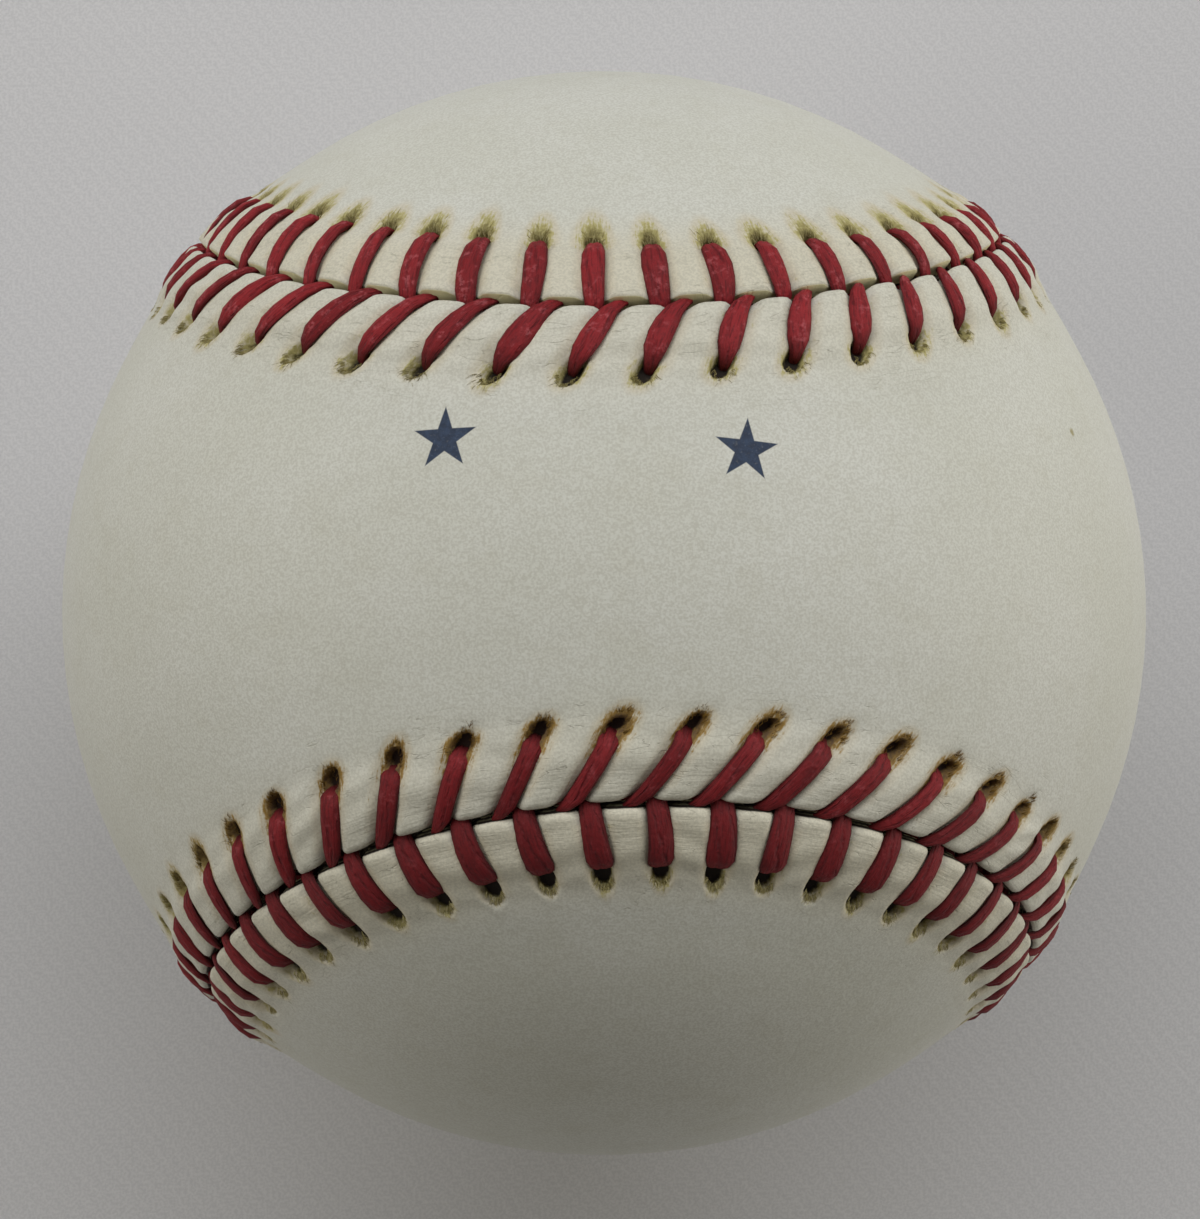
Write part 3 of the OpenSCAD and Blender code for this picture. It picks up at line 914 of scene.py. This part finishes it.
def lay_copies(name, spots, faces, stuff):
    """One object of many copies of a small shape. spots holds each copy's points in mm."""
    count = spots.shape[1]
    mesh = bpy.data.meshes.new(name)
    mesh.from_pydata((spots * MM).reshape(-1, 3).tolist(), [],
                     [[v + count * n for v in f] for n in range(len(spots)) for f in faces])
    mesh.materials.append(stuff)
    laid = bpy.data.objects.new(name, mesh)
    bpy.context.scene.collection.objects.link(laid)
    return laid


def note_points(piece, label, values):
    """Writes a number for each point of a piece, for its finish to read."""
    layer = piece.data.attributes.new(label, "FLOAT", "POINT")
    layer.data.foreach_set("value", values.ravel().astype(np.float32))


def lay_legs(name, side):
    path = np.array(LEG_PATH[side])
    step = np.rint(leg_points[:, 2]).astype(int)
    middle, sideways, up = [v[:, step] for v in leg_line(side, every_k, path)]
    x, y = leg_offsets(side, every_k, path, step)
    legs = lay_copies(name, middle + sideways * x[..., None] + up * y[..., None],
                      leg_faces, waxed_thread)

    own = variety[side]
    around = np.arctan2(leg_points[:, 1], leg_points[:, 0]) / (2 * math.pi)
    uv_point = np.stack([around + own[:, 5:6], step / LEG_STEPS * UV_LENGTH + UV_SHIFT * every_k],
                        -1).reshape(-1, 2)
    uv = legs.data.uv_layers.new(name="UVMap")
    corner = np.zeros(len(legs.data.loops), int)
    legs.data.loops.foreach_get("vertex_index", corner)
    uv.data.foreach_set("uv", uv_point[corner].ravel().astype(np.float32))
    note_points(legs, "tone", np.repeat(0.5 + 0.5 * own[:, 3], len(leg_points)))
    note_points(legs, "painted_shade", leg_shade(side, every_k, path, step))
    finish_mesh(legs, 0, 75)
    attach(legs, "root")
    return legs


legs_a = lay_legs("thread_legs_a", -1)
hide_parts("stitch_legs_a")
legs_b = lay_legs("thread_legs_b", 1)
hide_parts("stitch_legs_b")
print("legs:", 2 * STITCHES, "with", 2 * STITCHES * len(leg_faces), "faces")

# %% [markdown]
# ## Frayed fibres
# The punch and the needle tear fibres from the leather, and they stand round the outer end of
# each hole as a pale fringe. One hair is a cone of three sides, bisected twice along its
# length. Copies are bent and fanned out from each hole.

# %% The fringe of fibres at the holes
HAIRS = 44
FRINGE_SEED = 40
CUTS = (0.35, 0.7)


def one_hair():
    bpy.ops.object.select_all(action="DESELECT")
    bpy.ops.mesh.primitive_cone_add(vertices=3, radius1=1, radius2=0.25, depth=1,
                                    location=(0, 0, 0.5))
    hair = bpy.context.object
    bpy.ops.object.transform_apply(location=True)
    bpy.ops.object.mode_set(mode="EDIT")
    for height in CUTS:
        bpy.ops.mesh.select_all(action="SELECT")
        bpy.ops.mesh.bisect(plane_co=(0, 0, height), plane_no=(0, 0, 1))
    bpy.ops.object.mode_set(mode="OBJECT")
    return hair


hair_points, hair_faces = shape_of(one_hair())
print("one hair:", len(hair_points), "points,", len(hair_faces), "faces")

# %% The finish of the fibres


def fringe_finish(name):
    f = Finish(name)
    tone, amber = f.attribute("tone"), f.attribute("amber")
    grain = f.noise(f.place(), 3000, 2)
    straw = f.blend(tone, paint(126, 114, 62), paint(200, 190, 140))
    straw = f.blend(amber, straw, f.blend(tone, paint(80, 54, 10), paint(166, 128, 42)))
    return f.close([(grain, 0.00002, 0.3)], Base_Color=straw, Roughness=0.6 + grain * 0.2,
                   Specular_IOR_Level=0.3)


straw_fibre = fringe_finish("leather_fibre")
print("fibre nodes:", len(straw_fibre.node_tree.nodes))

# %% Lay the hairs


def fringe(name, side, finish):
    shape = np.random.RandomState(FRINGE_SEED + side)
    total = STITCHES * HAIRS
    k = np.repeat(np.arange(STITCHES), HAIRS) + 0.0
    burnt, fluffy = scorched(side, k), tufted(side, k)
    # Where the hairs start, fanned round the outer end of the hole, and how long they are
    fan = shape.uniform(-1, 1, total)
    root_w = (hole_w(side, k) + 0.12 + (0.68 - 0.25 * fluffy) * np.cos(fan * 1.4)
              + shape.uniform(-0.06, 0.12, total) + fluffy * shape.uniform(-0.2, 0.3, total))
    root_w = root_w - burnt * 1.4 * np.maximum(np.abs(fan) - 0.4, 0)
    length = 0.2 + (shape.uniform(0.0, 1.0, total) ** 1.5 * (0.95 - 0.5 * np.abs(fan))
                    * (0.55 + 0.45 * fluffy - 0.2 * burnt))
    root_way = k + first(k) + fan * (0.52 + 0.02 * burnt) / PITCH
    tip_w = root_w + length
    spread = (fan * shape.uniform(0.1, 1.1, total)
              + shape.uniform(-0.5, 0.5, total)) * length / PITCH
    root = beside(root_way + lean(side, k, root_w), side * root_w)
    tip = beside(root_way + lean(side, k, tip_w) + spread, side * tip_w)

    # How they rise, bend and thicken
    root_h, tip_h = -0.16 + 0.14 * np.abs(fan), shape.uniform(0.02, 0.2, total)
    bend = shape.uniform(-0.12, 0.12, total)
    thick = shape.uniform(0.016, 0.036, total)
    sideways = np.cross(unit(root + tip), unit(tip - root))
    spots = np.zeros((total, len(hair_points), 3))
    for j, (x, y, s) in enumerate(hair_points):
        arch = math.sin(math.pi * s)
        height = root_h * (1 - s) + tip_h * s + 0.1 * arch
        spots[:, j] = (unit(root * (1 - s) + tip * s) * (LEATHER_R + height + thick * y)[:, None]
                       + sideways * (bend * arch + thick * x)[:, None])
    hairs = lay_copies(name, spots, hair_faces, finish)
    light = shape.uniform(0, 1, total) * (0.45 + 0.55 * (side > 0))
    note_points(hairs, "tone", np.repeat(light, len(hair_points)))
    note_points(hairs, "amber", np.repeat(burnt, len(hair_points)))
    finish_mesh(hairs, 0, 80)
    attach(hairs, "root")


fringe("leather_fringe_a", -1, straw_fibre)
fringe("leather_fringe_b", 1, straw_fibre)
print("hairs:", 2 * STITCHES * HAIRS)

# %% [markdown]
# ## The layers under the cover
# The pill and the windings are hidden, and their CAD solids stay as they are. Each still gets
# the look of its own stuff, in case the cover is taken off: crumbs of cork in rubber,
# moulded rubber, wool wound in crossing turns, and thread in the holes.

# %% Finishes of the hidden layers


def cork_finish():
    f = Finish("cork_and_rubber")
    spot = f.place()
    crumbs = f.cells(spot, 900)
    grain = f.noise(spot, 2400, 3)
    tan = f.blend(crumbs.band(0.2, 0.7), paint(186, 138, 88), paint(120, 80, 46))
    tan = f.blend(grain.band(0.55, 0.75) * 0.6, tan, paint(62, 42, 30))
    return f.close([(crumbs, 0.0003, 0.5), (grain, 0.0001, 0.4)], Base_Color=tan,
                   Roughness=0.8 + grain * 0.15)


def rubber_finish(name, dark, light):
    f = Finish(name)
    spot = f.place()
    cloud, grain = f.noise(spot, 120, 3), f.noise(spot, 3200, 3)
    colour = f.blend(cloud.band(0.3, 0.7), dark, light)
    return f.close([(grain, 0.00008, 0.4), (cloud, 0.0004, 0.2)], Base_Color=colour,
                   Roughness=0.55 + grain * 0.25)


def yarn_finish(name, dark, light, spacing):
    """Wool wound in crossing turns: two sets of bands, one over the other in patches."""
    f = Finish(name)
    over = f.noise(f.place(), 60, 2).band(0.45, 0.55)
    one, other = [f.stripes(f.place(stretch), spacing, 2.0, 2.0, 3.0)
                  for stretch in ((1, 0.35, 0.2), (-0.3, 1, 0.5))]
    turns = one * over + other * (1 - over)
    fuzz = f.noise(f.place(), 4200, 3)
    colour = f.blend(turns * 0.7 + fuzz * 0.3, dark, light)
    return f.close([(turns, 0.0004, 0.6), (fuzz, 0.0001, 0.5)], Base_Color=colour,
                   Roughness=0.85 + fuzz * 0.1, Sheen_Weight=0.2)


print("ready:", ", ".join(f.__name__ for f in (cork_finish, rubber_finish, yarn_finish)))

# %% Dress the hidden layers
inner_finishes = {
    "cork_core": cork_finish(),
    "black_shell_lower": rubber_finish("rubber_black", paint(30, 30, 31), paint(52, 51, 50)),
    "red_washer": rubber_finish("rubber_red", paint(128, 36, 28), paint(158, 54, 42)),
    "winding_inner_grey": yarn_finish("wool_grey", paint(84, 84, 82), paint(150, 149, 146), 260),
    "winding_white": yarn_finish("wool_white", paint(176, 170, 156), paint(224, 219, 206), 260),
    "winding_finish": yarn_finish("yarn_white_fine", paint(190, 182, 160), paint(228, 222, 206),
                                  600),
    "under_thread_a": waxed_thread,
}
for same, other in (("black_shell_upper", "black_shell_lower"), ("red_shell", "red_washer"),
                    ("winding_outer_grey", "winding_inner_grey"),
                    ("under_thread_b", "under_thread_a")):
    inner_finishes[same] = inner_finishes[other]
for node, finish in inner_finishes.items():
    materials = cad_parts[node].data.materials
    materials.clear()
    materials.append(finish)
print("hidden layers with a finish:", len(inner_finishes))

# %% [markdown]
# ## Floor, light and sky
# The ball lies on a pale grey cloth. A wide soft strip of light hangs beyond the top of the
# picture, so the ball falls into shade towards the bottom. Two weaker lamps brighten its
# flanks, and the sky adds a little light from all round.

# %% The floor


def floor_finish():
    f = Finish("cloth_pale_grey")
    spot = f.place()
    weave_lines = f.stripes(f.place((1, 0.8, 1)), 420, 1.0, 1.0)
    cloud, nap = f.noise(spot, 9, 3), f.noise(spot, 1800, 3)
    colour = f.blend(cloud.band(0.3, 0.7), paint(218, 217, 218), paint(223, 222, 223))
    colour = f.blend(nap * 0.2, colour, paint(196, 195, 196))
    speckle = f.noise(spot, 4200, 1).band(0.38, 0.62)
    colour = f.blend(speckle * 0.24, colour, paint(176, 176, 177))
    colour = f.blend(weave_lines * 0.06, colour, paint(176, 176, 182))
    return f.close([(weave_lines, 0.0001, 0.05), (nap, 0.0001, 0.2)], Base_Color=colour,
                   Roughness=0.9, Specular_IOR_Level=0.1)


bpy.ops.object.select_all(action="DESELECT")
bpy.ops.mesh.primitive_plane_add(size=6, location=(0, 0, -LEATHER_R * MM))
floor = bpy.context.object
floor.name = "floor"
floor.data.materials.append(floor_finish())
floor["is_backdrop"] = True
print("the floor lies", round(LEATHER_R, 2), "mm under the ball's middle")

# %% The lamps
LAMP_RANGE = 0.6
COOL, WARM = (0.99, 1.0, 1.02), (1.03, 1.0, 0.92)
# Each lamp: bearing from the picture's top and elevation in degrees, width and height in
# metres, watts, tint
LAMPS = {"key": (4, 50, 1.2, 0.3, 3.36, COOL), "left_fill": (-95, 30, 0.4, 0.4, 0.88, WARM),
         "right_fill": (95, 10, 0.4, 0.4, 1.38, WARM)}
for name, (bearing, elevation, wide, high, watts, tint) in LAMPS.items():
    flat, steep = math.radians(bearing), math.radians(elevation)
    way = Vector((math.sin(flat) * math.cos(steep), math.cos(flat) * math.cos(steep),
                  math.sin(steep)))
    lamp = bpy.data.objects.new(name, bpy.data.lights.new(name, "AREA"))
    lamp.data.shape, lamp.data.size, lamp.data.size_y = "RECTANGLE", wide, high
    lamp.data.energy, lamp.data.color = watts, tint
    lamp.location = way * LAMP_RANGE
    lamp.rotation_euler = way.to_track_quat("Z", "Y").to_euler()
    bpy.context.scene.collection.objects.link(lamp)
print("lamps:", len(LAMPS), "at", LAMP_RANGE, "m")

# %% The sky: dim for the light it gives, and brighter where the camera or a reflection sees it
world = bpy.data.worlds.new("sky")
bpy.context.scene.world = world
world.use_nodes = True
sky = world.node_tree.nodes["Background"]
SKY_FILL, SKY_SEEN = (0.03, 0.027, 0.021), (0.46, 0.46, 0.46)
path = world.node_tree.nodes.new("ShaderNodeLightPath")
seen = path.outputs["Is Camera Ray"]
for ray in ("Is Glossy Ray", "Is Transmission Ray"):
    either = world.node_tree.nodes.new("ShaderNodeMath")
    either.operation = "MAXIMUM"
    world.node_tree.links.new(seen, either.inputs[0])
    world.node_tree.links.new(path.outputs[ray], either.inputs[1])
    seen = either.outputs[0]
pick = world.node_tree.nodes.new("ShaderNodeMix")
pick.data_type = "RGBA"
world.node_tree.links.new(seen, pick.inputs[0])
pick.inputs[6].default_value = (*SKY_FILL, 1)
pick.inputs[7].default_value = (*SKY_SEEN, 1)
world.node_tree.links.new(pick.outputs[2], sky.inputs["Color"])
bpy.context.scene.view_settings.view_transform = "Standard"
print("the sky fills with", SKY_FILL, "and shows as", SKY_SEEN)

# %% Measure the visual box of the model
low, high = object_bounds()
print("visual box in mm:", [round(1000 * (b - a), 2) for a, b in zip(low, high)])
